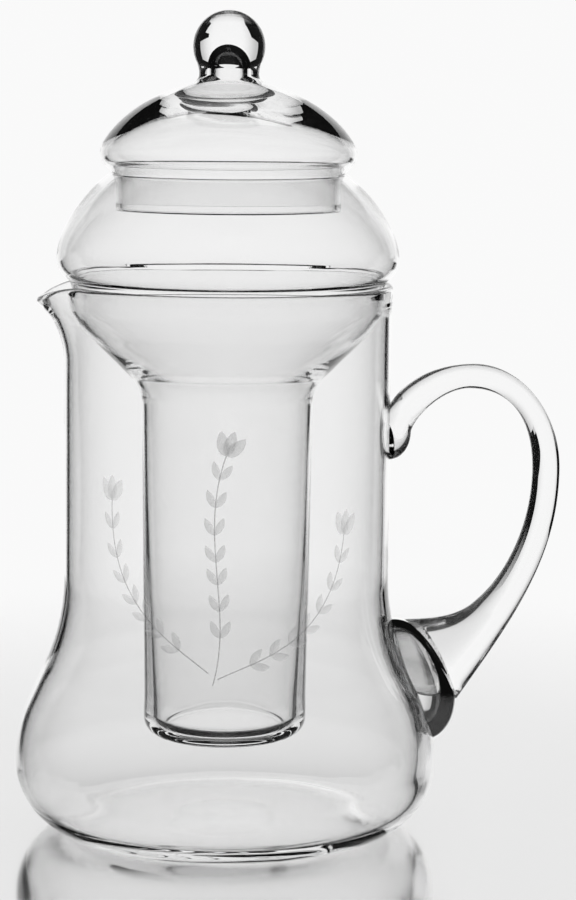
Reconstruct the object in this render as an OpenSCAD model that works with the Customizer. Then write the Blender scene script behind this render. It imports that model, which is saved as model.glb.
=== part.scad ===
// Glass cocktail pitcher with a lift-out ice insert and a lid.
// A blown pitcher with a pulled lip and an applied handle holds the drink. A blown insert hangs in its mouth:
// a bulb and bowl that fill the mouth, and a long closed tube that holds the ice. The lid plugs the insert.
// Millimetres, +Z up, origin on the table at the centre of the foot. Lip towards -X, handle towards +X.

/* [Pitcher] */
// Height of the pitcher's rim above the table
pitcher_h = 201; // [180:0.5:240]
// Outer diameter of the straight neck
neck_d = 119; // [105:1:140]
// Outer diameter of the belly at its widest
belly_d = 155.2; // [146:0.2:180]
// Height of the widest place of the belly
belly_z = 25; // [20:1:32]
// Diameter of the flat that the pitcher stands on
foot_d = 108; // [90:1:120]
// Wall of the neck
neck_wall = 2; // [1.6:0.1:3]
// Wall of the belly at its widest
belly_wall = 2.6; // [2:0.1:4]
// How far the fire-polished rim swells past the wall on each side
rim_swell = 0.5; // [0.2:0.1:1]
// Thickness of the bottom
base_t = 3.4; // [3:0.1:8]
// Lean of the shoulder from the vertical, in degrees
shoulder_lean = 24; // [18:1:30]
// Radius of the round from the belly into the shoulder
shoulder_r = 52; // [35:1:60]
// Radius of the sweep from the shoulder into the neck
sweep_r = 80; // [50:1:90]
// Diameter of the polished pontil hollow under the bottom
pontil_d = 42; // [20:1:60]
// Depth of the pontil hollow
pontil_h = 0.5; // [0.3:0.1:1.2]

/* [Lip] */
// How far the lip stands out from the neck
lip_reach = 10.1; // [7:0.1:14]
// How far the tip of the lip hangs below the rim
lip_drop = 6.6; // [4:0.1:10]
// Height of the flare from its root to its tip
lip_flare_h = 22; // [18:0.5:30]
// Radius of the mouth of the lip
lip_mouth_r = 22; // [18:0.5:26]
// Forward lean of the lip, in degrees
lip_lean = 16; // [12:1:22]

/* [Handle] */
// Height of the lower tip of the handle's upper seat
handle_top_z = 137; // [128:1:145]
// Height of the middle of the handle's lower seat
handle_foot_z = 56.5; // [48:0.5:62]
// Reach of the rod's middle from the neck
handle_reach = 57.1; // [45:0.1:70]
// Rise of the rod's highest point above the upper seat
handle_rise = 30.2; // [24:0.2:36]
// Thickness of the rod in the plane of the handle
rod_t = 10; // [8:0.2:13]
// Width of the rod across the handle
rod_w = 11.6; // [9:0.2:15]
// Length of the lower seat along the belly
seat_l = 53; // [40:1:60]
// Width of the lower seat across the belly
seat_w = 30; // [16:1:36]

/* [Ice insert] */
// Outer diameter of the bulb
bulb_d = 124.2; // [122:0.2:140]
// Radius of the round under the bulb
bulb_round = 9.4; // [7:0.1:12]
// Rise from the widest place of the bulb to its mouth
bulb_rise = 29; // [24:0.2:38]
// Wall of the bulb
bulb_wall = 1.8; // [1.4:0.1:2.4]
// Slope of the bulb where it meets its mouth, in degrees
mouth_slope = 35; // [25:1:45]
// Radius of the fire-polished mouth rim
mouth_bead_r = 1.2; // [0.9:0.1:1.6]
// How far the pinch between bulb and bowl lies inside the middle of the rim
pinch_in = 0.9; // [0.6:0.1:1.3]
// Slope of the tapered seat below the pinch, in degrees
seat_slope = 72; // [66:1:76]
// Gap between the bowl and the narrowest place of the mouth
bowl_fit = 0.5; // [0.4:0.1:1.2]
// Wall of the bowl
bowl_wall = 2; // [1.6:0.1:3]
// Straight depth of the bowl below its seat
bowl_skirt = 1.8; // [1:0.1:8]
// Radius of the round from the skirt into the funnel
bowl_round = 21.5; // [16:0.5:28]
// Radius of the outer sweep from the funnel into the tube
funnel_sweep = 13.5; // [10:0.5:18]
// Wall of the funnel at the crease above its throat
funnel_wall = 3.1; // [2.4:0.1:4]
// Slope of the funnel's inside where it meets the crease, in degrees
crease_slope = 38; // [32:1:42]
// Outer diameter of the tube at its top
tube_top_d = 62.2; // [50:0.2:70]
// Outer diameter of the tube at its bottom
tube_end_d = 60; // [46:0.2:66]
// Wall of the tube at its top
tube_wall = 1.6; // [1.4:0.1:2.4]
// Wall of the tube near its bottom
tube_end_wall = 4.4; // [2:0.1:5]
// Height of the tube's bottom above the table
tube_end_z = 34; // [20:1:60]
// Thickness of the tube's bottom
tube_end_t = 6; // [3:0.2:9]
// Outer round at the tube's bottom
tube_end_round = 9; // [6:0.5:12]

/* [Lid] */
// Outer diameter of the plug
plug_d = 81.4; // [70:0.2:88]
// Depth of the plug below its seat
plug_h = 11.8; // [8:0.2:18]
// Wall of the plug
plug_wall = 1.7; // [1.4:0.1:2.4]
// How far the plug's round end swells inwards
plug_swell = 0.7; // [0.2:0.1:1.2]
// Gap between the plug and the insert's mouth
plug_fit = 0.5; // [0.3:0.1:1]
// Outer diameter of the dome
dome_d = 92.8; // [90:0.2:104]
// Radius of the round under the dome
dome_round = 6; // [4:0.1:8]
// Rise of the dome above its widest place
dome_rise = 26.2; // [20:0.2:34]
// Wall of the dome at its widest place
dome_wall = 2; // [1.6:0.1:3]
// Thickness of the dome's crown
crown_t = 8.2; // [5:0.2:12]
// Diameter of the air pocket that rises from the lid into the knob
pocket_d = 10.4; // [8:0.2:12]
// Radius of the flare from the dome's inside into the pocket
pocket_flare = 10; // [6:0.5:12]
// Rise of the pocket's top above the crown
pocket_rise = 12.6; // [10:0.2:14]
// Diameter of the ball of the knob
ball_d = 26; // [25:0.2:32]
// Height of the ball's middle above the crown
ball_rise = 12; // [11:0.1:16]
// Diameter of the knob's neck
knob_neck_d = 21.6; // [19:0.2:24]
// Height of the knob's neck above the crown
knob_neck_rise = 1.4; // [1:0.1:3]
// Fillet between the knob's neck and the dome
knob_fillet = 2.5; // [1.5:0.1:4]

/* [Seats] */
// Gap left between a seat and the rim under it
seat_gap = 0.25; // [0.1:0.05:0.4]

/* [Hidden] */
$fn = 96;
arc_steps = 10;
curve_steps = 16;

neck_r = neck_d / 2;
belly_r = belly_d / 2;
foot_r = foot_d / 2;
bore_r = neck_r - neck_wall;
rim_bead_r = neck_wall / 2 + rim_swell;
rim_turn = acos(neck_wall / 2 / rim_bead_r);
rim_mid = [neck_r - neck_wall / 2, pitcher_h - rim_bead_r];

// Points of an arc from angle a0 to a1
function arc(middle, r, a0, a1, n = arc_steps) =
    [for (i = [0:n]) let (a = a0 + (a1 - a0) * i / n) middle + r * [cos(a), sin(a)]];

// One point of a cubic curve with four control points
function curve_at(p, t) =
    pow(1 - t, 3) * p[0] + 3 * t * pow(1 - t, 2) * p[1] + 3 * t * t * (1 - t) * p[2] + pow(t, 3) * p[3];

// Points along a cubic curve
function curve(p, n = curve_steps) = [for (i = [0:n]) curve_at(p, i / n)];

function reversed(list) = [for (i = [len(list) - 1:-1:0]) list[i]];

// Height at radius r of a tapered seat, of the given slope, that rests on a round rim
function seat_z(rim, bead_r, r, slope) =
    rim[1] + (r - rim[0]) * tan(slope) + (bead_r + seat_gap) / cos(slope);

// Outline of the pitcher from foot to neck: a quarter ellipse, the shoulder's round, a lean and the sweep
function vessel(foot, belly, floor_z, neck, round_r, hollow_r) =
    let (
        run = (belly - neck - (round_r + hollow_r) * (1 - cos(shoulder_lean))) / sin(shoulder_lean),
        neck_z = belly_z + (round_r + hollow_r) * sin(shoulder_lean) + run * cos(shoulder_lean)
    )
    concat(
        [for (i = [0:arc_steps]) let (t = 90 * i / arc_steps)
            [foot + (belly - foot) * sin(t), floor_z + (belly_z - floor_z) * (1 - cos(t))]],
        arc([belly - round_r, belly_z], round_r, shoulder_lean / arc_steps, shoulder_lean, arc_steps - 1),
        arc([neck + hollow_r, neck_z], hollow_r, 180 + shoulder_lean, 180)
    );

vessel_outer = vessel(foot_r, belly_r, 0, neck_r, shoulder_r, sweep_r);
vessel_inner = vessel(
    foot_r - base_t / 2, belly_r - belly_wall, base_t, bore_r, shoulder_r - belly_wall, sweep_r + neck_wall);
pontil_r = pontil_d / 2;
pontil_ball_r = (pontil_r * pontil_r + pontil_h * pontil_h) / (2 * pontil_h);
pontil_turn = asin(pontil_r / pontil_ball_r);

// The outside of the pitcher as a filled solid, without its lip
module vessel_fill() {
    rotate_extrude()
        polygon(concat([[0, 0]], vessel_outer, [[neck_r, pitcher_h], [0, pitcher_h]]));
}

// Radius of the pitcher's outside at height z
function vessel_r(z) = lookup(z, [for (p = vessel_outer) [p[1], p[0]]]);

// The lip is a flared collar that leans out of the neck. Its flare is an arc, drawn in the lip's own frame.
lip_tip = [-neck_r - lip_reach, pitcher_h - lip_drop];
lip_out = [-cos(lip_lean), -sin(lip_lean)];
lip_up = [-sin(lip_lean), cos(lip_lean)];
lip_mid = lip_tip - lip_mouth_r * lip_out;
lip_root_x = -neck_r + 0.6 * neck_wall;
lip_flare = lip_root_x - lip_tip[0];
lip_turn = 2 * atan(lip_flare / lip_flare_h);
lip_flare_r = lip_flare_h / sin(lip_turn);
lip_flare_mid = [lip_root_x - lip_flare_r, lip_tip[1] - lip_flare_h];

// A flare of the lip set back by inset from its outer face, as radius and height in the lip's frame
function lip_curve(inset) =
    [for (p = arc(lip_flare_mid, lip_flare_r + inset, 0, lip_turn))
        [(p - lip_mid) * lip_out, (p - lip_mid) * lip_up]];

module in_lip_frame() {
    translate([lip_mid[0], 0, lip_mid[1]]) rotate([0, -lip_lean, 0]) children();
}

// The wall of the lip all the way round its own axis, with a round edge
module lip_collar() {
    outer = lip_curve(0);
    inner = lip_curve(neck_wall);
    edge = (outer[arc_steps] + inner[arc_steps]) / 2;
    in_lip_frame() rotate_extrude()
        polygon(concat(
            outer,
            arc(edge, neck_wall / 2, lip_lean - lip_turn, 180 + lip_lean - lip_turn),
            reversed(inner)));
}

// What the middle of the lip's wall encloses, up past the rim
module lip_fill() {
    middle = lip_curve(neck_wall / 2);
    in_lip_frame() rotate_extrude()
        polygon(concat([[0, middle[0][1]]], middle,
            [[middle[arc_steps][0], lip_mouth_r], [0, lip_mouth_r]]));
}

// Blown pitcher: bottom with its pontil hollow, belly, shoulder, neck with a round rim, and pulled lip
module pitcher_body() {
    color("gainsboro", 0.35) union() {
        difference() {
            rotate_extrude()
                polygon(concat(
                    arc([0, pontil_h - pontil_ball_r], pontil_ball_r, 90, 90 - pontil_turn),
                    vessel_outer,
                    arc(rim_mid, rim_bead_r, -rim_turn, 180 + rim_turn, 2 * arc_steps),
                    reversed(vessel_inner),
                    [[0, base_t]]));
            lip_fill();
        }
        difference() {
            lip_collar();
            cylinder(h = 2 * pitcher_h, r = bore_r + neck_wall / 8);
        }
    }
}

// The handle's middle line, in the XZ plane: up from the upper seat, over, and down to the lower seat
handle_seat = [vessel_r(handle_foot_z), handle_foot_z];
handle_seat_in = [-cos(shoulder_lean), -sin(shoulder_lean)];
handle_start = [neck_r + rod_t / 4, handle_top_z];
handle_crest = [neck_r + handle_reach * 0.47, handle_top_z + handle_rise];
handle_side = [neck_r + handle_reach, handle_top_z - handle_rise * 0.13];
handle_up = [0, handle_rise];
handle_out = [handle_reach, 0];
handle_foot_l = 0.39 * handle_reach;
handle_curves = [
    [handle_start, handle_start + 0.6 * handle_up, handle_crest - 0.23 * handle_out, handle_crest],
    [handle_crest, handle_crest + 0.33 * handle_out, handle_side + 0.68 * handle_up, handle_side],
    [handle_side, handle_side - 0.83 * handle_up, handle_seat - handle_foot_l * handle_seat_in, handle_seat]
];

// The rod is rounded off at its upper end and spreads into its seat at the lower end, late for a high power
function rod_round(s) = s < 0.25 ? sqrt(1 - pow(1 - s / 0.25, 2)) : 1;
function rod_spread(s, power) = s > 2 ? pow(s - 2, power) : 0;

// One ring of the rod: s is 0 at the upper end, 1 at the crest, 2 at the side and 3 at the seat
function rod_ring(s, on) =
    let (
        k = min(floor(s), 2),
        p = curve_at(handle_curves[k], s - k),
        d = curve_at(handle_curves[k], s - k + 0.01) - curve_at(handle_curves[k], s - k - 0.01),
        t = d / norm(d),
        middle = p + on * t,
        half_t = rod_round(s) * (rod_t + (seat_l - rod_t) * rod_spread(s, 4)) / 2,
        half_w = rod_round(s) * (rod_w + (seat_w - rod_w) * rod_spread(s, 9)) / 2
    )
    [for (i = [0:rod_sides - 1]) let (a = 360 * i / rod_sides)
        [middle[0] - t[1] * half_t * cos(a), half_w * sin(a), middle[1] + t[0] * half_t * cos(a)]];

rod_sides = 20;
rod_steps = 60;
rod_start = 0.02;
rod_rings = concat(
    [for (i = [0:rod_steps]) rod_ring(rod_start + (3 - rod_start) * i / rod_steps, 0)],
    [rod_ring(3, 2 * belly_wall)]);

// Applied handle: one gather of solid glass, stuck low on the belly, drawn up and over, pressed to the neck
module pitcher_handle() {
    rings = len(rod_rings);
    color("gainsboro", 0.35) difference() {
        polyhedron(
            points = [for (ring = rod_rings) for (p = ring) p],
            faces = concat(
                [[for (i = [0:rod_sides - 1]) i]],
                [for (j = [0:rings - 2]) for (i = [0:rod_sides - 1])
                    [j * rod_sides + i, (j + 1) * rod_sides + i,
                        (j + 1) * rod_sides + (i + 1) % rod_sides, j * rod_sides + (i + 1) % rod_sides]],
                [[for (i = [rod_sides - 1:-1:0]) (rings - 1) * rod_sides + i]]));
        vessel_fill();
    }
}

plug_r = plug_d / 2;
bulb_r = bulb_d / 2;
bowl_r = bore_r - rim_swell - bowl_fit;
pinch_r = rim_mid[0] - pinch_in;
tube_top_r = tube_top_d / 2;
tube_end_r = tube_end_d / 2;
half_turn = sqrt(2) - 1;

// Heights of the insert, from its tapered seat on the pitcher's rim
bowl_seat_z = seat_z(rim_mid, rim_bead_r, bowl_r, seat_slope);
pinch_z = seat_z(rim_mid, rim_bead_r, pinch_r, seat_slope);
skirt_z = bowl_seat_z - bowl_skirt;
tube_top_z = skirt_z - (bowl_r - tube_top_r) - half_turn * (bowl_round + funnel_sweep);
bulb_mid_r = bulb_r - bulb_round;
bulb_z = pinch_z + sqrt(pow(bulb_round, 2) - pow(pinch_r - bulb_mid_r, 2));
mouth_mid = [plug_r + plug_fit + mouth_bead_r, bulb_z + bulb_rise];
mouth_side = [sin(mouth_slope), cos(mouth_slope)];
mouth_along = [cos(mouth_slope), -sin(mouth_slope)];

// The bulb's wall from its widest place, at radius r, to the end point at its mouth
function bulb_curve(r, end) =
    curve([[r, bulb_z], [r, bulb_z + bulb_rise * 0.31], end + bulb_rise * 0.4 * mouth_along, end]);

// Angle below the level at which the bulb's round, of radius r, reaches the pinch at pinch
function pinch_turn(r, pinch) = acos((pinch - bulb_mid_r) / r);

// The inside of the funnel thickens to a crease, and an arc leads from there into the bore of the tube
bore_top_r = tube_top_r - tube_wall;
bore_end_r = tube_end_r - tube_end_wall;
bore_end_z = tube_end_z + tube_end_t;
bore_round = tube_end_round - tube_end_t / 3;
crease_in = (funnel_sweep + funnel_wall) * sqrt(0.5);
crease = [tube_top_r + funnel_sweep - crease_in, tube_top_z + crease_in];
throat_round = (crease[0] - bore_top_r) / (1 - sqrt(0.5));
throat_z = crease[1] - throat_round * sqrt(0.5);

// The inside of the funnel from the end of the bowl's round to the crease
function funnel_curve(start) =
    let (reach = norm(start - crease))
    curve([
        start,
        start - 0.47 * reach * [sqrt(0.5), sqrt(0.5)],
        crease + 0.28 * reach * [cos(crease_slope), sin(crease_slope)],
        crease
    ]);

// Blown insert: ice tube with a thick closed bottom, funnel, bowl, tapered seat and bulb with a round mouth
module ice_insert() {
    bowl_mid = [bowl_r - bowl_round, skirt_z];
    bulb_mid = [bulb_mid_r, bulb_z];
    bulb_in_r = bulb_round - bulb_wall;
    bowl_inner = arc(bowl_mid, bowl_round - bowl_wall, 0, -45);
    bore_depth = throat_z - bore_end_z - bore_round;
    bore = [for (i = [1:arc_steps]) let (t = i / arc_steps)
        [bore_top_r - (bore_top_r - bore_end_r) * t * t, throat_z - bore_depth * t]];
    color("gainsboro", 0.35) rotate_extrude()
        polygon(concat(
            [[0, tube_end_z]],
            arc([tube_end_r - tube_end_round, tube_end_z + tube_end_round], tube_end_round, -90, 0),
            arc([tube_top_r + funnel_sweep, tube_top_z], funnel_sweep, 180, 135),
            arc(bowl_mid, bowl_round, -45, 0),
            [[bowl_r, bowl_seat_z]],
            arc(bulb_mid, bulb_round, -pinch_turn(bulb_round, pinch_r), -1),
            bulb_curve(bulb_r, mouth_mid + mouth_bead_r * mouth_side),
            arc(mouth_mid, mouth_bead_r, 108 - mouth_slope, 252 - mouth_slope, 8),
            reversed(bulb_curve(bulb_r - bulb_wall, mouth_mid - mouth_bead_r * mouth_side)),
            arc(bulb_mid, bulb_in_r, -1, -pinch_turn(bulb_in_r, pinch_r - bowl_wall)),
            bowl_inner,
            funnel_curve(bowl_inner[arc_steps]),
            arc([bore_top_r + throat_round, throat_z], throat_round, 140, 180, arc_steps - 1),
            bore,
            arc([bore_end_r - bore_round, bore_end_z + bore_round], bore_round, -9, -90, arc_steps - 1),
            [[0, bore_end_z]]));
}

dome_r = dome_d / 2;
plug_seat_z = seat_z(mouth_mid, mouth_bead_r, plug_r, 45);
dome_z = plug_seat_z + dome_r - plug_r + half_turn * dome_round;
crown_z = dome_z + dome_rise;
ceiling_z = crown_z - crown_t;
plug_bead_r = (plug_wall + plug_swell) / 2;
plug_end_mid = [plug_r - plug_bead_r, plug_seat_z - plug_h + plug_bead_r];
plug_end_turn = acos((plug_bead_r - plug_wall) / plug_bead_r);
pocket_r = pocket_d / 2;
pocket_top_z = crown_z + pocket_rise;
stem_r = pocket_r + dome_wall;

// The dome from its widest place, at radius r, to the top on the axis. Steep is how far the side runs up, as
// a share of the rise, and full how far the top runs out before it turns down, as a share of the radius.
function dome_curve(r, top, steep, full) =
    curve([[r, dome_z], [r, dome_z + (top - dome_z) * steep], [r * full, top], [0, top]]);

// Outside of the lid from its seat over the dome to the hollow stem that rises into the knob
lid_outer = concat(
    [[plug_r, plug_seat_z]],
    arc([dome_r - dome_round, dome_z], dome_round, -45, 0, arc_steps - 1),
    [for (p = dome_curve(dome_r, crown_z, 0.25, 0.52)) if (p[0] > stem_r) p],
    arc([0, pocket_top_z - pocket_r], stem_r, 0, 90));

// Blown lid: open plug, seat and dome, thickening towards the crown, and a hollow stem for the knob
module lid() {
    under_dome = arc([dome_r - dome_round, dome_z], dome_round - dome_wall, 0, -45);
    seat_back = under_dome[arc_steps][1] - under_dome[arc_steps][0] + plug_r - plug_wall;
    ceiling = reversed(dome_curve(dome_r - dome_wall, ceiling_z, 0.28, 0.72));
    flare_r = pocket_r + pocket_flare;
    color("gainsboro", 0.35) rotate_extrude()
        polygon(concat(
            arc(plug_end_mid, plug_bead_r, plug_end_turn, 360, 2 * arc_steps),
            lid_outer,
            arc([0, pocket_top_z - pocket_r], pocket_r, 90, 0),
            arc([flare_r, ceiling_z + pocket_flare], pocket_flare, 180, 270),
            [for (p = ceiling) if (p[0] > flare_r + 0.5) p],
            under_dome,
            [[plug_r - plug_wall, seat_back]]));
}

ball_r = ball_d / 2;
knob_neck_r = knob_neck_d / 2;
knob_neck_z = crown_z + knob_neck_rise;
knob_drop = ball_rise - knob_neck_rise;
knob_waist_r = (pow(knob_neck_r, 2) + pow(knob_drop, 2) - pow(ball_r, 2)) / (2 * (ball_r - knob_neck_r));
knob_lean = atan2(knob_drop, knob_neck_r + knob_waist_r);

// Applied knob: a gather of glass shaped to a ball on a waisted neck, fused over the stem and to the crown
module lid_knob() {
    foot = arc([knob_neck_r + knob_fillet, knob_neck_z], knob_fillet, 190, 255, 7);
    color("gainsboro", 0.35) difference() {
        rotate_extrude()
            polygon(concat(
                [[0, ceiling_z + crown_t / 2], [foot[7][0], ceiling_z + crown_t / 2]],
                reversed(foot),
                arc([knob_neck_r + knob_waist_r, knob_neck_z], knob_waist_r, 180, 180 - knob_lean),
                arc([0, crown_z + ball_rise], ball_r, 6 - knob_lean, 90, 16)));
        rotate_extrude()
            polygon(concat([[0, plug_seat_z]], lid_outer));
    }
}

pitcher_body();
pitcher_handle();
ice_insert();
lid();
lid_knob();
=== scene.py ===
import bpy
import numpy as np
from mathutils import Matrix


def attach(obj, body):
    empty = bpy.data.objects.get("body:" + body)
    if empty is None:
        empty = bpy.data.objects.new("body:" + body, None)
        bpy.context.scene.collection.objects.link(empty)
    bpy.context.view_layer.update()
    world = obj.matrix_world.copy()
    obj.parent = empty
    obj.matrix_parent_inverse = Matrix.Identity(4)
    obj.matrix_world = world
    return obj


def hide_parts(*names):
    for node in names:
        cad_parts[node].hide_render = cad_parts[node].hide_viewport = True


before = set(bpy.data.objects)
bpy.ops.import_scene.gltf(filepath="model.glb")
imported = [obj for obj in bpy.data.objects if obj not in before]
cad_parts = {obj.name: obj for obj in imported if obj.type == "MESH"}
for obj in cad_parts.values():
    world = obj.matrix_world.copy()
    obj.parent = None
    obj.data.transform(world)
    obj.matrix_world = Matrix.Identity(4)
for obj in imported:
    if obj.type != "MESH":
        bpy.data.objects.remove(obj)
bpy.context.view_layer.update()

# Pitcher body
# A blown jug of clear soda-lime glass: flat bottom, low belly, straight neck and fire-polished rim. The lip is
# pulled out of the hot rim with a tool, so the wall simply bends out and down there. Sizes are in millimetres.
MM = 0.001
NECK_R, BELLY_R, FOOT_R, INNER_FOOT_R = 59.5, 77.6, 54.0, 46.0
RIM_Z, BELLY_Z, BASE_T = 201.0, 25.0, 3.4
NECK_WALL, BELLY_WALL, RIM_BEAD, RIM_SWELL = 2.0, 3.4, 1.5, 9.0
LEAN, SHOULDER_R, SWEEP_R = np.radians(24.0), 52.0, 80.0
PONTIL_R, PONTIL_H = 21.0, 0.25
CORNER_POWER = 2 / 2.8
SAG, HANDLE_SAG, SAG_FADE_H = 1.5, 1.8, 45.0
LIP_ROOT_Z, LIP_TURN, LIP_LENGTH, LIP_WIDTH = 172.6, np.radians(49.3), 25.0, np.radians(31.0)
BODY_SIDES = 192


def arc(mid_r, mid_z, radius, start, end, count=24):
    """Points of a circle about (mid_r, mid_z), from angle start to end in degrees, as rows of r and z."""
    a = np.radians(np.linspace(start, end, count))
    return np.column_stack([mid_r + radius * np.cos(a), mid_z + radius * np.sin(a)])


def curve(p0, p1, p2, p3, count=40, start=0.0, end=1.0):
    """Cubic curve: its four control points weighted by the Bernstein polynomials of t, from start to end."""
    t = np.linspace(start, end, count)[:, None]
    p0, p1, p2, p3 = np.array([p0, p1, p2, p3], float)
    return (1 - t) ** 3 * p0 + 3 * t * (1 - t) ** 2 * p1 + 3 * t * t * (1 - t) * p2 + t ** 3 * p3


def vessel(foot, belly, floor_z, neck, round_r, hollow_r, power=1.0):
    """Pitcher outline: a quarter ellipse from foot to belly, the shoulder's arc, a straight lean and the sweep's
    arc. The ellipse's sine and cosine are raised to the power, and one below 1 makes the corner squarer."""
    share = np.linspace(0.0, 1.0, 400) ** (1 / power)
    t = np.pi / 2 * share / (share + share[::-1])
    low = np.column_stack([
        foot + (belly - foot) * np.sin(t) ** power, floor_z + (BELLY_Z - floor_z) * (1 - np.cos(t) ** power)])
    run = (belly - neck - (round_r + hollow_r) * (1 - np.cos(LEAN))) / np.sin(LEAN)
    neck_z = BELLY_Z + (round_r + hollow_r) * np.sin(LEAN) + run * np.cos(LEAN)
    turn = np.degrees(LEAN)
    return np.vstack([
        low,
        arc(belly - round_r, BELLY_Z, round_r, 1, turn),
        arc(neck + hollow_r, neck_z, hollow_r, 180 + turn, 180)])


def spaced(points, step):
    """The same outline with a point every step along straight stretches, and one for each few degrees of bend.
    The bend is a running mean along a fine copy, and a millimetre gets only so many points at most."""
    fine_step, bend_step, window, most = 0.1, 2.5, 9, 5.0
    s = np.concatenate([[0.0], np.cumsum(np.linalg.norm(np.diff(points, axis=0), axis=1))])
    fine = np.linspace(0.0, s[-1], int(s[-1] / fine_step) + 2)
    path = np.column_stack([np.interp(fine, s, points[:, 0]), np.interp(fine, s, points[:, 1])])
    way = np.unwrap(np.arctan2(*np.diff(path, axis=0).T[::-1]))
    turn = np.abs(np.diff(way, prepend=way[0]))
    bend = np.degrees(np.convolve(turn, np.ones(window) / window, "same") / fine[1])
    count = np.concatenate([[0.0], np.cumsum(np.minimum(1 / step + bend / bend_step, most)) * fine[1]])
    at = np.interp(np.linspace(0.0, count[-1], int(count[-1]) + 2), count, fine)
    return np.column_stack([np.interp(at, fine, path[:, 0]), np.interp(at, fine, path[:, 1])])


def turned(outline, sides):
    """Surface of revolution, as a grid of points: each outline point (r, z) goes round the axis in even steps."""
    a = 2 * np.pi * np.arange(sides) / sides
    r, z = outline[:, 0][:, None], outline[:, 1][:, None]
    return np.stack([r * np.cos(a), r * np.sin(a), z + 0 * a], axis=2)


def skin(name, grid, material):
    """Closed mesh over a grid of rings. The first and last ring are points, with fans of triangles round them."""
    rings, sides = grid.shape[:2]
    points = np.vstack([grid[0].mean(0), grid[1:-1].reshape(-1, 3), grid[-1].mean(0)]) * MM
    j, i = np.meshgrid(np.arange(rings - 3), np.arange(sides), indexing="ij")
    this, above = 1 + j * sides, 1 + (j + 1) * sides
    nxt = (i + 1) % sides
    quads = np.stack([this + i, this + nxt, above + nxt, above + i], 2).reshape(-1, 4)
    k = np.arange(sides)
    last = 1 + (rings - 3) * sides
    fan_a = np.column_stack([0 * k, 1 + (k + 1) % sides, 1 + k])
    fan_b = np.column_stack([0 * k + len(points) - 1, last + k, last + (k + 1) % sides])
    mesh = bpy.data.meshes.new(name)
    mesh.from_pydata(points, [], quads.tolist() + fan_a.tolist() + fan_b.tolist())
    mesh.polygons.foreach_set("use_smooth", np.ones(len(mesh.polygons), bool))
    mesh.materials.append(material)
    piece = bpy.data.objects.new(name, mesh)
    bpy.context.scene.collection.objects.link(piece)
    return piece


def fit(piece, body, *nodes):
    """Fixes a piece of clear glass to a body of the frame, in place of the nodes that it shows."""
    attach(piece, body)
    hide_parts(*nodes)


def linear(code):
    """sRGB hex to linear RGBA."""
    c = np.array([int(code[k:k + 2], 16) for k in (0, 2, 4)]) / 255.0
    return (*np.where(c <= 0.04045, c / 12.92, ((c + 0.055) / 1.055) ** 2.4), 1.0)


def add(tree, kind, settings=None, links=None):
    """A node with its settings (attributes or input values) and links (input name to an output socket)."""
    node = tree.nodes.new(kind)
    for key, value in (settings or {}).items():
        if isinstance(key, str) and hasattr(node, key):
            setattr(node, key, value)
        else:
            node.inputs[key].default_value = value
    for key, socket in (links or {}).items():
        tree.links.new(socket, node.inputs[key])
    return node


def new_material(name):
    """An empty node material and its output node."""
    material = bpy.data.materials.new(name)
    material.use_nodes = True
    material.node_tree.nodes.clear()
    return material, add(material.node_tree, "ShaderNodeOutputMaterial")


# Blown soda-lime glass: colourless, IOR 1.52, fire-polished, with faint long ripples left by the blowing.
# The specular tint takes a quarter off its mirroring, so that many walls in a row don't turn grey.
RIPPLE_L, RIPPLE_H = 22.0, 0.02
clear_glass, out = new_material("blown_soda_lime_glass")
tree = clear_glass.node_tree
glass = add(tree, "ShaderNodeBsdfPrincipled", {
    "Base Color": linear("FFFFFF"), "Roughness": 0.0, "IOR": 1.52, "Transmission Weight": 1.0,
    "Specular Tint": (0.75, 0.75, 0.75, 1.0)})
where = add(tree, "ShaderNodeTexCoord")
waves = add(tree, "ShaderNodeTexNoise", {"Scale": 1 / (RIPPLE_L * MM), "Detail": 1.5}, {
    "Vector": where.outputs["Object"]})
ripple = add(tree, "ShaderNodeBump", {"Strength": 1.0, "Distance": RIPPLE_H * MM}, {
    "Height": waves.outputs["Fac"]})
tree.links.new(ripple.outputs["Normal"], glass.inputs["Normal"])
tree.links.new(glass.outputs["BSDF"], out.inputs["Surface"])


def pull_lip(grid):
    """Bends the wall above the lip's root along an arc. The bend fades as a squared cosine to both sides of -X."""
    x, y, z = grid[..., 0], grid[..., 1], grid[..., 2]
    r = np.hypot(x, y)
    off = np.abs(np.arctan2(y, -x))
    fade = np.where(off < LIP_WIDTH, np.cos(np.pi / 2 * np.minimum(off / LIP_WIDTH, 1)) ** 2, 0.0)
    s = np.clip((z - LIP_ROOT_Z) / (RIM_Z - LIP_ROOT_Z), 0.0, 1.0)
    bend = np.maximum(LIP_TURN * fade, 1e-6)
    length = (RIM_Z - LIP_ROOT_Z) * (1 - fade) + LIP_LENGTH * fade
    a = bend * s
    depth = NECK_R - r
    out_r = NECK_R + length / bend * (1 - np.cos(a)) - depth * np.cos(a)
    out_z = LIP_ROOT_Z + length / bend * np.sin(a) + depth * np.sin(a)
    lifted = z > LIP_ROOT_Z
    out_r, out_z = np.where(lifted, out_r, r), np.where(lifted, out_z, z)
    scale = out_r / np.maximum(r, 1e-9)
    return np.stack([x * scale, y * scale, out_z], axis=2)


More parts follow.
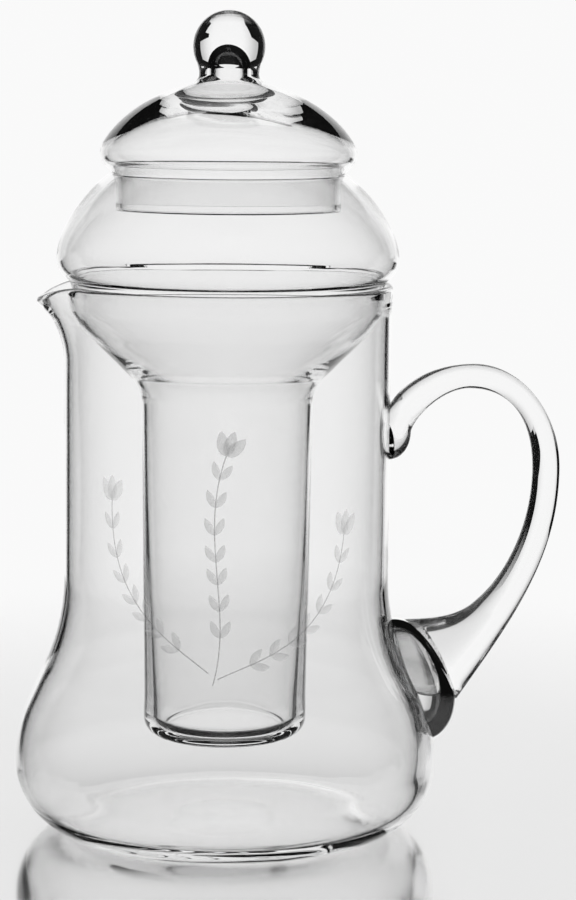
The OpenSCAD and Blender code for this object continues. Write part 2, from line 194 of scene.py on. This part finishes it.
outer = vessel(FOOT_R, BELLY_R, 0.0, NECK_R, SHOULDER_R, SWEEP_R)
inner = vessel(INNER_FOOT_R, BELLY_R - BELLY_WALL, BASE_T, NECK_R - NECK_WALL,
               SHOULDER_R - BELLY_WALL, SWEEP_R + NECK_WALL, CORNER_POWER)
ball = (PONTIL_R ** 2 + PONTIL_H ** 2) / (2 * PONTIL_H)
hollow = arc(0.0, PONTIL_H - ball, ball, 90, 90 - np.degrees(np.arcsin(PONTIL_R / ball)))
up = np.linspace(0.0, 1.0, 24)
swell = np.column_stack([(RIM_BEAD - NECK_WALL / 2) * (1 - np.cos(np.pi * up)) / 2, RIM_SWELL * (up - 1)])
rim_mid = np.array([NECK_R - NECK_WALL / 2, RIM_Z - RIM_BEAD])
outline = spaced(np.vstack([
    hollow,
    outer,
    rim_mid + [NECK_WALL / 2, 0.0] + swell,
    arc(rim_mid[0], rim_mid[1], RIM_BEAD, 2, 178, 40),
    rim_mid - [NECK_WALL / 2, 0.0] + swell[::-1] * [-1, 1],
    inner[::-1],
    [[0.0, BASE_T]]]), 2.0)
grid = turned(outline, BODY_SIDES)

# The inner face lies off centre low down: the wall is thicker on the handle's side, where the hot glass sagged
inside = np.arange(len(outline)) > np.argmax(outline[:, 1])
facing = (1 + np.cos(2 * np.pi * np.arange(BODY_SIDES) / BODY_SIDES)) / 2
grid[..., 0] -= (SAG + HANDLE_SAG * facing ** 2) * inside[:, None] * np.exp(-grid[..., 2] / SAG_FADE_H)
pitcher = skin("pitcher_glass", pull_lip(grid), clear_glass)

# Handle
# One gather of solid glass, stuck low on the belly, drawn up and over to a rod, and pressed down on the neck.
# Both ends are fused to the wall, so body and handle are one skin of glass. Two edges give its side view, as
# cubic curves in x and z, and a rounded pad is the mass of glass at its foot.
ROD_W, TOP_SEAT_W, FOOT_SEAT_W, SEAT_SINK = 11.6, 17.0, 16.0, 0.8
INNER_EDGE = [
    [[58.0, 136.9], [63.5, 136.4], [67.0, 141.0], [67.2, 147.0]],
    [[67.2, 147.0], [67.5, 151.5], [78.0, 163.4], [88.5, 163.4]],
    [[88.5, 163.4], [103.0, 163.4], [111.8, 153.0], [111.8, 133.4]],
    [[111.8, 133.4], [111.8, 114.5], [104.0, 95.5], [92.1, 84.8]],
    [[92.1, 84.8], [85.0, 78.2], [77.0, 77.3], [57.5, 77.3]]]
OUTER_EDGE = [
    [[58.0, 154.5], [63.0, 166.5], [77.0, 172.3], [90.2, 172.3]],
    [[90.2, 172.3], [107.0, 172.3], [121.8, 155.0], [121.8, 133.5]],
    [[121.8, 133.5], [121.8, 100.0], [105.0, 77.0], [85.6, 48.0]],
    [[85.6, 48.0], [81.0, 45.5], [72.0, 46.0], [64.0, 50.0]]]
CURL_SHARE, ROD_SHARE = 0.25, 0.68
BEGIN_RINGS, FOOT_RINGS = 40, 60
PAD_MID, PAD_L, PAD_T, PAD_W = np.array([67.5, 55.0]), 24.0, 16.0, 15.0
FUSE_ANGLE = np.radians(25.0)


def wall_radius(z):
    """Outer radius of the pitcher at height z, read off its outline."""
    return np.interp(z, outer[:, 1], outer[:, 0])


def seated(grid):
    """Moves points of the handle out to just under the pitcher's outer face, where they lie deeper."""
    r = np.hypot(grid[..., 0], grid[..., 1])
    push = np.maximum(r, wall_radius(grid[..., 2]) - SEAT_SINK) / r
    return np.concatenate([grid[..., :2] * push[..., None], grid[..., 2:]], axis=2)


def handle_rings(sides):
    """Rings of ellipses across the handle. Each spans from the inner to the outer edge, and its width goes from
    the upper seat to the rod and on to the foot. Three shrinking rings close each end."""
    inside = np.vstack([
        curve(*INNER_EDGE[0], 24)[:-1],
        curve(*INNER_EDGE[1], 30)[:-1],
        curve(*INNER_EDGE[2], 40)[:-1],
        curve(*INNER_EDGE[3], 40)[:-1],
        curve(*INNER_EDGE[4], FOOT_RINGS)])
    outside = np.vstack([
        curve(*OUTER_EDGE[0], 24, 0.0, CURL_SHARE)[:-1],
        curve(*OUTER_EDGE[0], 30, CURL_SHARE, 1.0)[:-1],
        curve(*OUTER_EDGE[1], 40)[:-1],
        curve(*OUTER_EDGE[2], 40, 0.0, ROD_SHARE)[:-1],
        curve(*OUTER_EDGE[2], 28, ROD_SHARE, 1.0)[:-1],
        curve(*OUTER_EDGE[3], FOOT_RINGS - 27)])
    ring = np.arange(len(inside))
    begin = np.clip(1 - ring / BEGIN_RINGS, 0.0, 1.0)
    end = np.clip((ring - (len(inside) - FOOT_RINGS)) / (FOOT_RINGS - 1), 0.0, 1.0)
    half_w = (ROD_W + (TOP_SEAT_W - ROD_W) * begin ** 3 + (FOOT_SEAT_W - ROD_W) * end) / 2
    mid, half = (inside + outside) / 2, (outside - inside) / 2
    shrink = np.array([0.0, 0.5, 0.8])
    mid = np.vstack([
        mid[:1] - np.outer([1.5, 1.0, 0.5], [1.0, 0.0]),
        mid,
        mid[-1:] - np.outer([2.0, 4.0, 6.0], [1.0, 0.4])])
    half = np.vstack([np.outer(shrink, half[0]), half, np.outer(shrink[::-1], half[-1])])
    half_w = np.concatenate([shrink * half_w[0], half_w, shrink[::-1] * half_w[-1]])
    a = 2 * np.pi * np.arange(sides) / sides
    x = mid[:, :1] + half[:, :1] * np.cos(a)
    z = mid[:, 1:] + half[:, 1:] * np.cos(a)
    return seated(np.stack([x, half_w[:, None] * np.sin(a), z], axis=2))


def pad_rings(count, sides):
    """Rings of an ellipsoid whose long axis leans with the belly's wall."""
    t = np.linspace(0.0, np.pi, count)[:, None]
    a = 2 * np.pi * np.arange(sides) / sides
    down, away = np.array([np.sin(LEAN), -np.cos(LEAN)]), np.array([np.cos(LEAN), np.sin(LEAN)])
    length, thick = -PAD_L * np.cos(t) + 0 * a, PAD_T * np.sin(t) * np.cos(a)
    x = PAD_MID[0] + length * down[0] + thick * away[0]
    z = PAD_MID[1] + length * down[1] + thick * away[1]
    return seated(np.stack([x, PAD_W * np.sin(t) * np.sin(a), z], axis=2))


gathers = [skin("rod", handle_rings(64)[:, ::-1], clear_glass), skin("pad", pad_rings(120, 128), clear_glass)]
for gather in gathers:
    fuse = pitcher.modifiers.new(gather.name, "BOOLEAN")
    fuse.operation, fuse.solver, fuse.object = "UNION", "MANIFOLD", gather
fused = pitcher.evaluated_get(bpy.context.evaluated_depsgraph_get())
pitcher.data = bpy.data.meshes.new_from_object(fused)
pitcher.modifiers.clear()
for gather in gathers:
    bpy.data.objects.remove(gather)
pitcher.data.set_sharp_from_angle(angle=FUSE_ANGLE)
fit(pitcher, "pitcher", "pitcher_body", "pitcher_handle")

# Cut ornament
# A spray of three leafy sprigs, cut a few hundredths of a millimetre deep into the outer face of the neck with
# small wheels and left matt. Its sizes are on the unrolled neck. Each shading gives a cut's painted shade on its
# left flank, painted light on its right flank, and its opacity.
STEM_W, LEAF_L, LEAF_W, BUD_L, BUD_W, CUT_STANDS = 0.42, 7.0, 2.6, 9.0, 4.2, 0.03
STEMS = np.array([
    [[-3.0, 66.0], [4.0, 92.0], [-9.0, 118.0], [1.0, 146.0]],
    [[-4.5, 70.0], [-20.0, 82.0], [-44.0, 92.0], [-43.0, 128.0]],
    [[-1.5, 68.0], [14.0, 76.0], [42.0, 80.0], [47.0, 116.0]]])
STEM_POINTS, LEAF_POINTS = 60, 9
LEAF_AT, LEAF_TURN, BUD_TURN, TURN_LEFT = np.linspace(0.2, 0.92, 7), np.radians(38.0), 0.7, 0.55
# Per cut: grey of the painted shade on the left flank, grey of the painted light on the right flank, opacity
STEM_SHADING, LEAF_SHADING, BUD_SHADING = (0.15, 0.35, 0.50), (0.30, 0.90, 0.30), (0.75, 1.00, 0.42)


def along(roots, ends, length, turn):
    """Paths that leave each root at a turn from the way of its line there, and bend back a little on their way."""
    line_way = np.arctan2(*(ends[:, 1] - ends[:, 0]).T[::-1])
    way = line_way[:, None] + turn * np.linspace(1.0, TURN_LEFT, LEAF_POINTS)
    step = length / (LEAF_POINTS - 1) * np.stack([np.cos(way), np.sin(way)], axis=2)
    return roots[:, None] + np.cumsum(step, axis=1) - step[:, :1]


def cut(paths, width, left, right, cover):
    """Strips along paths on the unrolled neck, three points across, with painted shade on the left flank, painted
    light on the right flank, and opacity.
    """
    way = np.gradient(paths, axis=1)
    way /= np.linalg.norm(way, axis=2, keepdims=True)
    side = np.stack([-way[..., 1], way[..., 0]], axis=2)
    across = (width / 2)[None, :, None, None] * np.array([1.0, 0.0, -1.0])[:, None]
    grid = paths[:, :, None] + side[:, :, None] * across
    flank_shading = np.broadcast_to(np.array([left, (left + right) / 2, right]), grid.shape[:3])
    return grid, flank_shading, np.full(grid.shape[:3], cover)


t = np.linspace(0.0, 1.0, LEAF_POINTS)
leaf_form, bud_form = np.sin(np.pi * t) ** 0.8 + 0.05, np.sin(np.pi * t ** 0.8) ** 0.7 + 0.05
stems = np.stack([curve(*stem, STEM_POINTS) for stem in STEMS])
near = np.round(LEAF_AT * (STEM_POINTS - 2)).astype(int)
roots = stems[:, near].reshape(-1, 2)
ends = np.stack([roots, stems[:, near + 1].reshape(-1, 2)], axis=1)
tips = np.stack([stems[:, -2], stems[:, -1]], axis=1)
cuts = [cut(stems, np.full(STEM_POINTS, STEM_W), *STEM_SHADING)]
for turn in (LEAF_TURN, -LEAF_TURN):
    cuts.append(cut(along(roots, ends, LEAF_L, turn), LEAF_W * leaf_form, *LEAF_SHADING))
for turn in (0.0, BUD_TURN, -BUD_TURN):
    cuts.append(cut(along(stems[:, -1], tips, BUD_L, turn), BUD_W * bud_form, *BUD_SHADING))
points, faces, flank_shading, cover = [], [], [], []
for grid, grey, dense in cuts:
    index = sum(map(len, points)) + np.arange(grey.size).reshape(grey.shape)
    corners = [index[:, :-1, :-1], index[:, :-1, 1:], index[:, 1:, 1:], index[:, 1:, :-1]]
    faces.append(np.stack(corners, 3).reshape(-1, 4))
    points.append(grid.reshape(-1, 2))
    flank_shading.append(grey.ravel())
    cover.append(dense.ravel())
u, z = np.vstack(points).T
r = wall_radius(z) + CUT_STANDS
mesh = bpy.data.meshes.new("cut_ornament")
mesh.from_pydata(np.column_stack([
    r * np.sin(u / NECK_R), -r * np.cos(u / NECK_R), z]) * MM, [], np.vstack(faces).tolist())
mesh.polygons.foreach_set("use_smooth", np.ones(len(mesh.polygons), bool))
# The grey attribute carries the painted shade and painted light across each cut's flanks
for name, values in (("grey", flank_shading), ("cover", cover)):
    mesh.attributes.new(name, "FLOAT", "POINT").data.foreach_set("value", np.concatenate(values))

# Wheel-cut glass, unpolished: matt and pale, with painted shade on one flank of each cut and painted light on the
# other, and with the wheel's fine streaks
STREAK_L = 0.4
cut_glass, out = new_material("wheel_cut_matt_glass")
tree = cut_glass.node_tree
# grey is the painted shade and painted light across each cut, from its left flank to its right
grey = add(tree, "ShaderNodeAttribute", {"attribute_name": "grey"})
dense = add(tree, "ShaderNodeAttribute", {"attribute_name": "cover"})
where = add(tree, "ShaderNodeTexCoord")
streaks = add(tree, "ShaderNodeTexNoise", {"Scale": 1 / (STREAK_L * MM), "Detail": 3.0}, {
    "Vector": where.outputs["Object"]})
wear = add(tree, "ShaderNodeMapRange", {"From Min": 0.3, "From Max": 0.7, "To Min": 0.7, "To Max": 1.2}, {
    "Value": streaks.outputs["Fac"]})
alpha = add(tree, "ShaderNodeMath", {"operation": "MULTIPLY"}, {
    0: dense.outputs["Fac"], 1: wear.outputs["Result"]})
# Painted shade: dark grey on the shaded flank, pale on the painted lit flank
colour = add(tree, "ShaderNodeMixRGB", {"Color1": linear("505050"), "Color2": linear("F2F2F2")}, {
    "Fac": grey.outputs["Fac"]})
matt = add(tree, "ShaderNodeBsdfPrincipled", {"Roughness": 0.7, "Specular IOR Level": 0.2}, {
    "Base Color": colour.outputs["Color"], "Alpha": alpha.outputs["Value"]})
tree.links.new(matt.outputs["BSDF"], out.inputs["Surface"])
mesh.materials.append(cut_glass)
ornament = bpy.data.objects.new("cut_ornament", mesh)
bpy.context.scene.collection.objects.link(ornament)
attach(ornament, "pitcher")

# Ice insert
# A second blown piece that hangs loose in the mouth: a bulb that shows above the rim, a bowl below it, and a
# long ice tube with a heavy closed bottom. Below the pinch of bulb and bowl, a tapered seat rests in the rim.
BULB_R, BULB_ROUND, BULB_RISE, BULB_WALL = 62.1, 9.4, 29.0, 1.8
BULB_STEEP, MOUTH_FULL = 0.31, 0.4
BOWL_R, BOWL_WALL, BOWL_SKIRT, BOWL_ROUND = 56.5, 2.0, 1.8, 21.5
PINCH_R, SEAT_SLOPE, SEAT_GAP = 57.6, np.radians(72.0), 0.25
FUNNEL_SWEEP, FUNNEL_WALL, FUNNEL_ARM = 13.5, 3.1, 0.47
CREASE_SLOPE, CREASE_ARM = np.radians(38.0), 0.28
TUBE_TOP_R, TUBE_END_R, TUBE_WALL, TUBE_END_WALL = 31.1, 30.0, 1.6, 4.4
TUBE_END_Z, TUBE_END_T, TUBE_END_ROUND, BORE_ROUND = 34.0, 3.8, 6.5, 5.0
PLUG_R, PLUG_FIT, MOUTH_BEAD, MOUTH_SLOPE = 40.7, 0.5, 1.2, np.radians(35.0)
HALF_TURN = np.sqrt(2) - 1


def seat_z(rim, bead, r, slope):
    """Height at radius r of a tapered seat of that slope, which clears a round rim by the seat's gap."""
    return rim[1] + (r - rim[0]) * np.tan(slope) + (bead + SEAT_GAP) / np.cos(slope)


bowl_seat_z = seat_z(rim_mid, RIM_BEAD, BOWL_R, SEAT_SLOPE)
pinch_z = seat_z(rim_mid, RIM_BEAD, PINCH_R, SEAT_SLOPE)
skirt_z = bowl_seat_z - BOWL_SKIRT
tube_top_z = skirt_z - (BOWL_R - TUBE_TOP_R) - HALF_TURN * (BOWL_ROUND + FUNNEL_SWEEP)
bulb_mid_r = BULB_R - BULB_ROUND
bulb_z = pinch_z + np.sqrt(BULB_ROUND ** 2 - (PINCH_R - bulb_mid_r) ** 2)
mouth = np.array([PLUG_R + PLUG_FIT + MOUTH_BEAD, bulb_z + BULB_RISE])
mouth_side = MOUTH_BEAD * np.array([np.sin(MOUTH_SLOPE), np.cos(MOUTH_SLOPE)])
mouth_along = BULB_RISE * MOUTH_FULL * np.array([np.cos(MOUTH_SLOPE), -np.sin(MOUTH_SLOPE)])


def bulb_curve(r, end):
    """The bulb's wall from its widest place at radius r to the end point at its mouth."""
    return curve([r, bulb_z], [r, bulb_z + BULB_RISE * BULB_STEEP], end + mouth_along, end)


turn = np.degrees(MOUTH_SLOPE)
bore_z = TUBE_END_Z + TUBE_END_T
bore_top_r, bore_end_r = TUBE_TOP_R - TUBE_WALL, TUBE_END_R - TUBE_END_WALL
crease_in = (FUNNEL_SWEEP + FUNNEL_WALL) * np.sqrt(0.5)
crease = np.array([TUBE_TOP_R + FUNNEL_SWEEP - crease_in, tube_top_z + crease_in])
throat_round = (crease[0] - bore_top_r) / (1 - np.sqrt(0.5))
throat_z = crease[1] - throat_round * np.sqrt(0.5)
bowl_in = arc(BOWL_R - BOWL_ROUND, skirt_z, BOWL_ROUND - BOWL_WALL, 0, -45)
funnel_l = np.linalg.norm(bowl_in[-1] - crease)
funnel_way, crease_way = np.sqrt([0.5, 0.5]), np.array([np.cos(CREASE_SLOPE), np.sin(CREASE_SLOPE)])
pinch_turn = np.degrees(np.arccos((PINCH_R - bulb_mid_r) / BULB_ROUND))
pinch_turn_in = np.degrees(np.arccos((PINCH_R - BOWL_WALL - bulb_mid_r) / (BULB_ROUND - BULB_WALL)))
t = np.linspace(0.0, 1.0, 60)
bore_side = np.column_stack([
    bore_top_r - (bore_top_r - bore_end_r) * t ** 2, throat_z + (bore_z + BORE_ROUND - throat_z) * t])
insert_outline = spaced(np.vstack([
    [[0.0, TUBE_END_Z]],
    arc(TUBE_END_R - TUBE_END_ROUND, TUBE_END_Z + TUBE_END_ROUND, TUBE_END_ROUND, -90, 0),
    arc(TUBE_TOP_R + FUNNEL_SWEEP, tube_top_z, FUNNEL_SWEEP, 180, 135),
    arc(BOWL_R - BOWL_ROUND, skirt_z, BOWL_ROUND, -45, 0),
    [[BOWL_R, bowl_seat_z]],
    arc(bulb_mid_r, bulb_z, BULB_ROUND, -pinch_turn, 0),
    bulb_curve(BULB_R, mouth + mouth_side),
    arc(mouth[0], mouth[1], MOUTH_BEAD, 88 - turn, 272 - turn, 30),
    bulb_curve(BULB_R - BULB_WALL, mouth - mouth_side)[::-1],
    arc(bulb_mid_r, bulb_z, BULB_ROUND - BULB_WALL, 0, -pinch_turn_in),
    bowl_in,
    curve(bowl_in[-1], bowl_in[-1] - FUNNEL_ARM * funnel_l * funnel_way,
          crease + CREASE_ARM * funnel_l * crease_way, crease),
    arc(bore_top_r + throat_round, throat_z, throat_round, 135, 180),
    bore_side,
    arc(bore_end_r - BORE_ROUND, bore_z + BORE_ROUND, BORE_ROUND, 0, -90),
    [[0.0, bore_z]]]), 4.0)
insert = skin("ice_insert_glass", turned(insert_outline, 180), clear_glass)
fit(insert, "insert", "ice_insert")

# Lid and knob
# The third blown piece: an open plug that drops into the insert's mouth, a pinched seat, and a low dome that is
# thicker towards the crown. The knob is a gather of glass fused to the crown, and the lid's air rises into it.
PLUG_H, PLUG_WALL, PLUG_BEAD = 11.8, 1.7, 0.95
DOME_R, DOME_ROUND, DOME_RISE, DOME_WALL, CROWN_T = 46.4, 6.0, 26.2, 2.0, 6.0
DOME_STEEP, DOME_FULL, CEILING_STEEP, CEILING_FULL = 0.26, 0.62, 0.27, 0.64
BALL_R, BALL_RISE, KNOB_NECK_R, KNOB_NECK_RISE, KNOB_FOOT_R = 13.0, 12.0, 10.8, 2.2, 22.0
NECK_ARM, FOOT_ARM = 4.0, 2.2
POCKET_R, POCKET_RISE, POCKET_FOOT, POCKET_ARM, FLARE_ARM = 5.2, 12.6, 2.0, 5.0, 1.2
SEAT_CUT, SEAT_ARM = 8, 4.0
TILT, TILT_R = 0.05, 40.0

plug_seat_z = seat_z(mouth, MOUTH_BEAD, PLUG_R, np.pi / 4)
plug_end_z = plug_seat_z - PLUG_H
dome_z = plug_seat_z + DOME_R - PLUG_R + HALF_TURN * DOME_ROUND
crown_z = dome_z + DOME_RISE
neck_z, pocket_z = crown_z + KNOB_NECK_RISE, crown_z + POCKET_FOOT


def dome_curve(r, top, steep, full):
    """The dome from its widest place at radius r to the top on the axis, where it lies level. Full is how far the
    top runs out before it turns down, and steep how far the side runs up, as shares of radius and rise."""
    return curve([r, dome_z], [r, dome_z + (top - dome_z) * steep], [r * full, top], [0.0, top], 60)


def beyond(end, before, reach):
    """Control point past a line's end, on its last slope: reach times the step from a point before it."""
    return end + reach * (end - before)


under = arc(DOME_R - DOME_ROUND, dome_z, DOME_ROUND - DOME_WALL, 0, -45)
seat_back = np.array([PLUG_R - PLUG_WALL, under[-1, 1] - under[-1, 0] + PLUG_R - PLUG_WALL])
ceiling = dome_curve(DOME_R - DOME_WALL, crown_z - CROWN_T, CEILING_STEEP, CEILING_FULL)[::-1]
dome = dome_curve(DOME_R, crown_z, DOME_STEEP, DOME_FULL)
flare = ceiling[ceiling[:, 0] > KNOB_FOOT_R]
foot = dome[dome[:, 0] > KNOB_FOOT_R]
drop = BALL_RISE - KNOB_NECK_RISE
waist_r = (KNOB_NECK_R ** 2 + drop ** 2 - BALL_R ** 2) / (2 * (BALL_R - KNOB_NECK_R))
knob_lean = np.degrees(np.arctan2(drop, KNOB_NECK_R + waist_r))
lid_outline = spaced(np.vstack([
    arc(0.0, crown_z + POCKET_RISE - POCKET_R, POCKET_R, 90, 0),
    curve([POCKET_R, pocket_z], [POCKET_R, pocket_z - POCKET_ARM],
          beyond(flare[0], flare[3], FLARE_ARM), flare[0]),
    flare,
    under[:-SEAT_CUT],
    curve(under[-SEAT_CUT], seat_back, seat_back, seat_back - [0.0, SEAT_ARM], 20),
    [[PLUG_R - PLUG_WALL, plug_end_z + 3 * PLUG_BEAD]],
    arc(PLUG_R - PLUG_BEAD, plug_end_z + PLUG_BEAD, PLUG_BEAD, 180, 358, 40),
    [[PLUG_R, plug_seat_z]],
    arc(DOME_R - DOME_ROUND, dome_z, DOME_ROUND, -45, 0),
    foot,
    curve(foot[-1], beyond(foot[-1], foot[-4], FOOT_ARM),
          [KNOB_NECK_R, neck_z - NECK_ARM], [KNOB_NECK_R, neck_z]),
    arc(KNOB_NECK_R + waist_r, neck_z, waist_r, 179, 180 - knob_lean, 20),
    arc(0.0, crown_z + BALL_RISE, BALL_R, 2 - knob_lean, 90, 60)]), 4.0)
grid = turned(lid_outline, 180)

# The ceiling inside the dome hangs a little lower on the handle's side, as in work blown by hand
r = np.hypot(grid[..., 0], grid[..., 1])
ceiling_rows = np.arange(len(lid_outline)) < np.argmin(lid_outline[:, 1])
sag = TILT * grid[..., 0] * np.clip(1 - (r / TILT_R) ** 2, 0.0, 1.0) ** 2
grid[..., 2] -= np.where(ceiling_rows[:, None] & (grid[..., 2] > dome_z), sag, 0.0)
lid = skin("lid_glass", grid, clear_glass)
fit(lid, "cover", "lid", "lid_knob")

# Studio
# A pale table, polished like a mirror, that fades into a white backdrop. The room round it is dark to what glass
# bends or mirrors, and a white card stands behind the object as seen from the camera, as in a bright-field setup
# for clear glass. Sizes are in metres here.
FLOOR_R, FLOOR_DROP, FLOOR_SIDES = 0.55, -0.0003, 96
FADE_FROM_R, FADE_TO_R = 0.16, 0.5
CAMERA_AT, CAMERA_TILT, CAMERA_ROLL = (0.0223, -1.0687, 0.2902), np.radians(82.0), np.radians(0.487)
LENS, SENSOR_W = 117.96, 36.0
BOUNCES = 32
a = 2 * np.pi * np.arange(FLOOR_SIDES) / FLOOR_SIDES
floor_mesh = bpy.data.meshes.new("table")
floor_mesh.from_pydata(
    np.column_stack([FLOOR_R * np.cos(a), FLOOR_R * np.sin(a), 0 * a + FLOOR_DROP]), [],
    [list(range(FLOOR_SIDES))])

# Silvered acrylic sheet: a soft, pale mirror, with broad smears of polish that blur it more here and less there
SMEAR_L = 40.0
table, out = new_material("silvered_acrylic_sheet")
tree = table.node_tree
gloss = add(tree, "ShaderNodeBsdfPrincipled", {
    "Base Color": linear("E8E8E8"), "Metallic": 0.9, "Roughness": 0.1})
clear = add(tree, "ShaderNodeBsdfTransparent")
where = add(tree, "ShaderNodeTexCoord")
smears = add(tree, "ShaderNodeTexNoise", {"Scale": 1 / (SMEAR_L * MM), "Detail": 4.0}, {
    "Vector": where.outputs["Object"]})
polish = add(tree, "ShaderNodeMapRange", {"To Min": 0.07, "To Max": 0.13}, {"Value": smears.outputs["Fac"]})
tree.links.new(polish.outputs["Result"], gloss.inputs["Roughness"])
away = add(tree, "ShaderNodeVectorMath", {"operation": "LENGTH"}, {0: where.outputs["Object"]})
fade = add(tree, "ShaderNodeMapRange", {
    "interpolation_type": "SMOOTHSTEP", "From Min": FADE_FROM_R, "From Max": FADE_TO_R}, {
    "Value": away.outputs["Value"]})
mix = add(tree, "ShaderNodeMixShader", links={
    0: fade.outputs["Result"], 1: gloss.outputs["BSDF"], 2: clear.outputs["BSDF"]})
tree.links.new(mix.outputs["Shader"], out.inputs["Surface"])
floor_mesh.materials.append(table)
floor = bpy.data.objects.new("table", floor_mesh)
bpy.context.scene.collection.objects.link(floor)

# The room: white to the camera and to light that a matt face scatters, dark to the glass, but less so in front
world = bpy.data.worlds.new("white_studio")
bpy.context.scene.world = world
world.use_nodes = True
tree = world.node_tree
tree.nodes.clear()
out = add(tree, "ShaderNodeOutputWorld")
path = add(tree, "ShaderNodeLightPath")
spread = add(tree, "ShaderNodeMath", {"operation": "GREATER_THAN", 1: 0.5}, {
    0: path.outputs["Diffuse Depth"]})
seen = add(tree, "ShaderNodeMath", {"operation": "MAXIMUM"}, {
    0: spread.outputs["Value"], 1: path.outputs["Is Camera Ray"]})
where = add(tree, "ShaderNodeTexCoord")
axes = add(tree, "ShaderNodeSeparateXYZ", links={"Vector": where.outputs["Generated"]})
front = add(tree, "ShaderNodeMapRange", {
    "interpolation_type": "SMOOTHSTEP", "From Min": -0.45, "From Max": -0.8,
    "To Min": 0.004, "To Max": 0.1}, {"Value": axes.outputs["Y"]})
room = add(tree, "ShaderNodeMixRGB", {"Color2": (0.95, 0.95, 0.95, 1)}, {
    "Fac": seen.outputs["Value"], "Color1": front.outputs["Result"]})
light = add(tree, "ShaderNodeBackground", {"Strength": 1.0}, {"Color": room.outputs["Color"]})
tree.links.new(light.outputs["Background"], out.inputs["Surface"])

camera_data = bpy.data.cameras.new("camera")
camera_data.lens, camera_data.sensor_width = LENS, SENSOR_W
camera = bpy.data.objects.new("camera", camera_data)
bpy.context.scene.collection.objects.link(camera)
turn = Matrix.Rotation(CAMERA_TILT, 4, "X") @ Matrix.Rotation(CAMERA_ROLL, 4, "Z")
camera.matrix_world = Matrix.Translation(CAMERA_AT) @ turn
scene = bpy.context.scene
scene.camera = camera
scene.view_settings.view_transform = "Standard"
scene.cycles.max_bounces = scene.cycles.transmission_bounces = scene.cycles.glossy_bounces = BOUNCES
scene.cycles.transparent_max_bounces = BOUNCES

# The card is cut to the outline below, in metres right and up from the camera's axis: the glass shows its edges
# as dark lines. It stands once more farther off, for cameras too far from the object for the first one.
CARD_AWAY, CARD_PASS, FAR_SIZE = 1.85, 0.22, 2.5
CARD_EDGE = np.array([
    (-0.42, -0.60), (0.50, -0.60), (0.50, -0.42), (0.36, -0.25), (0.46, -0.04), (0.33, 0.02), (0.33, 0.09),
    (0.66, 0.14), (0.66, 0.60), (-0.75, 0.60), (-0.75, 0.16), (-0.46, 0.08), (-0.43, 0.0), (-0.36, -0.2)])
card_mesh = bpy.data.meshes.new("backdrop")
card_mesh.from_pydata(
    np.column_stack([CARD_EDGE, np.full(len(CARD_EDGE), -CARD_AWAY)]), [], [list(range(len(CARD_EDGE)))])

# White backdrop paper, lit from behind: less bright towards its sides, with a faint cloud of fibres. What lies
# close to it sees past it, so that the table mirrors the object on both sides of the card.
FIBRE_L = 60.0
paper, out = new_material("white_backdrop_paper")
tree = paper.node_tree
where = add(tree, "ShaderNodeTexCoord")
axes = add(tree, "ShaderNodeSeparateXYZ", links={"Vector": where.outputs["Object"]})
side = add(tree, "ShaderNodeMath", {"operation": "ABSOLUTE"}, {0: axes.outputs["X"]})
fade = add(tree, "ShaderNodeMapRange", {
    "interpolation_type": "SMOOTHSTEP", "From Min": 0.2, "From Max": 0.66, "To Min": 1.0, "To Max": 0.6}, {
    "Value": side.outputs["Value"]})
fibres = add(tree, "ShaderNodeTexNoise", {"Scale": 1 / (FIBRE_L * MM), "Detail": 3.0}, {
    "Vector": where.outputs["Object"]})
paper_white = add(tree, "ShaderNodeMixRGB", {"Color1": linear("FAFAFA"), "Color2": linear("FFFFFF")}, {
    "Fac": fibres.outputs["Fac"]})
glow = add(tree, "ShaderNodeEmission", links={
    "Color": paper_white.outputs["Color"], "Strength": fade.outputs["Result"]})
path = add(tree, "ShaderNodeLightPath")
close = add(tree, "ShaderNodeMath", {"operation": "LESS_THAN", 1: CARD_PASS}, {0: path.outputs["Ray Length"]})
clear = add(tree, "ShaderNodeBsdfTransparent")
mix = add(tree, "ShaderNodeMixShader", links={
    0: close.outputs["Value"], 1: glow.outputs["Emission"], 2: clear.outputs["BSDF"]})
tree.links.new(mix.outputs["Shader"], out.inputs["Surface"])
card_mesh.materials.append(paper)
for name, size in (("backdrop", 1.0), ("backdrop_far", FAR_SIZE)):
    card = bpy.data.objects.new(name, card_mesh)
    bpy.context.scene.collection.objects.link(card)
    card.parent = camera
    card.scale = (size, size, size)
    card.visible_camera = card.visible_diffuse = False
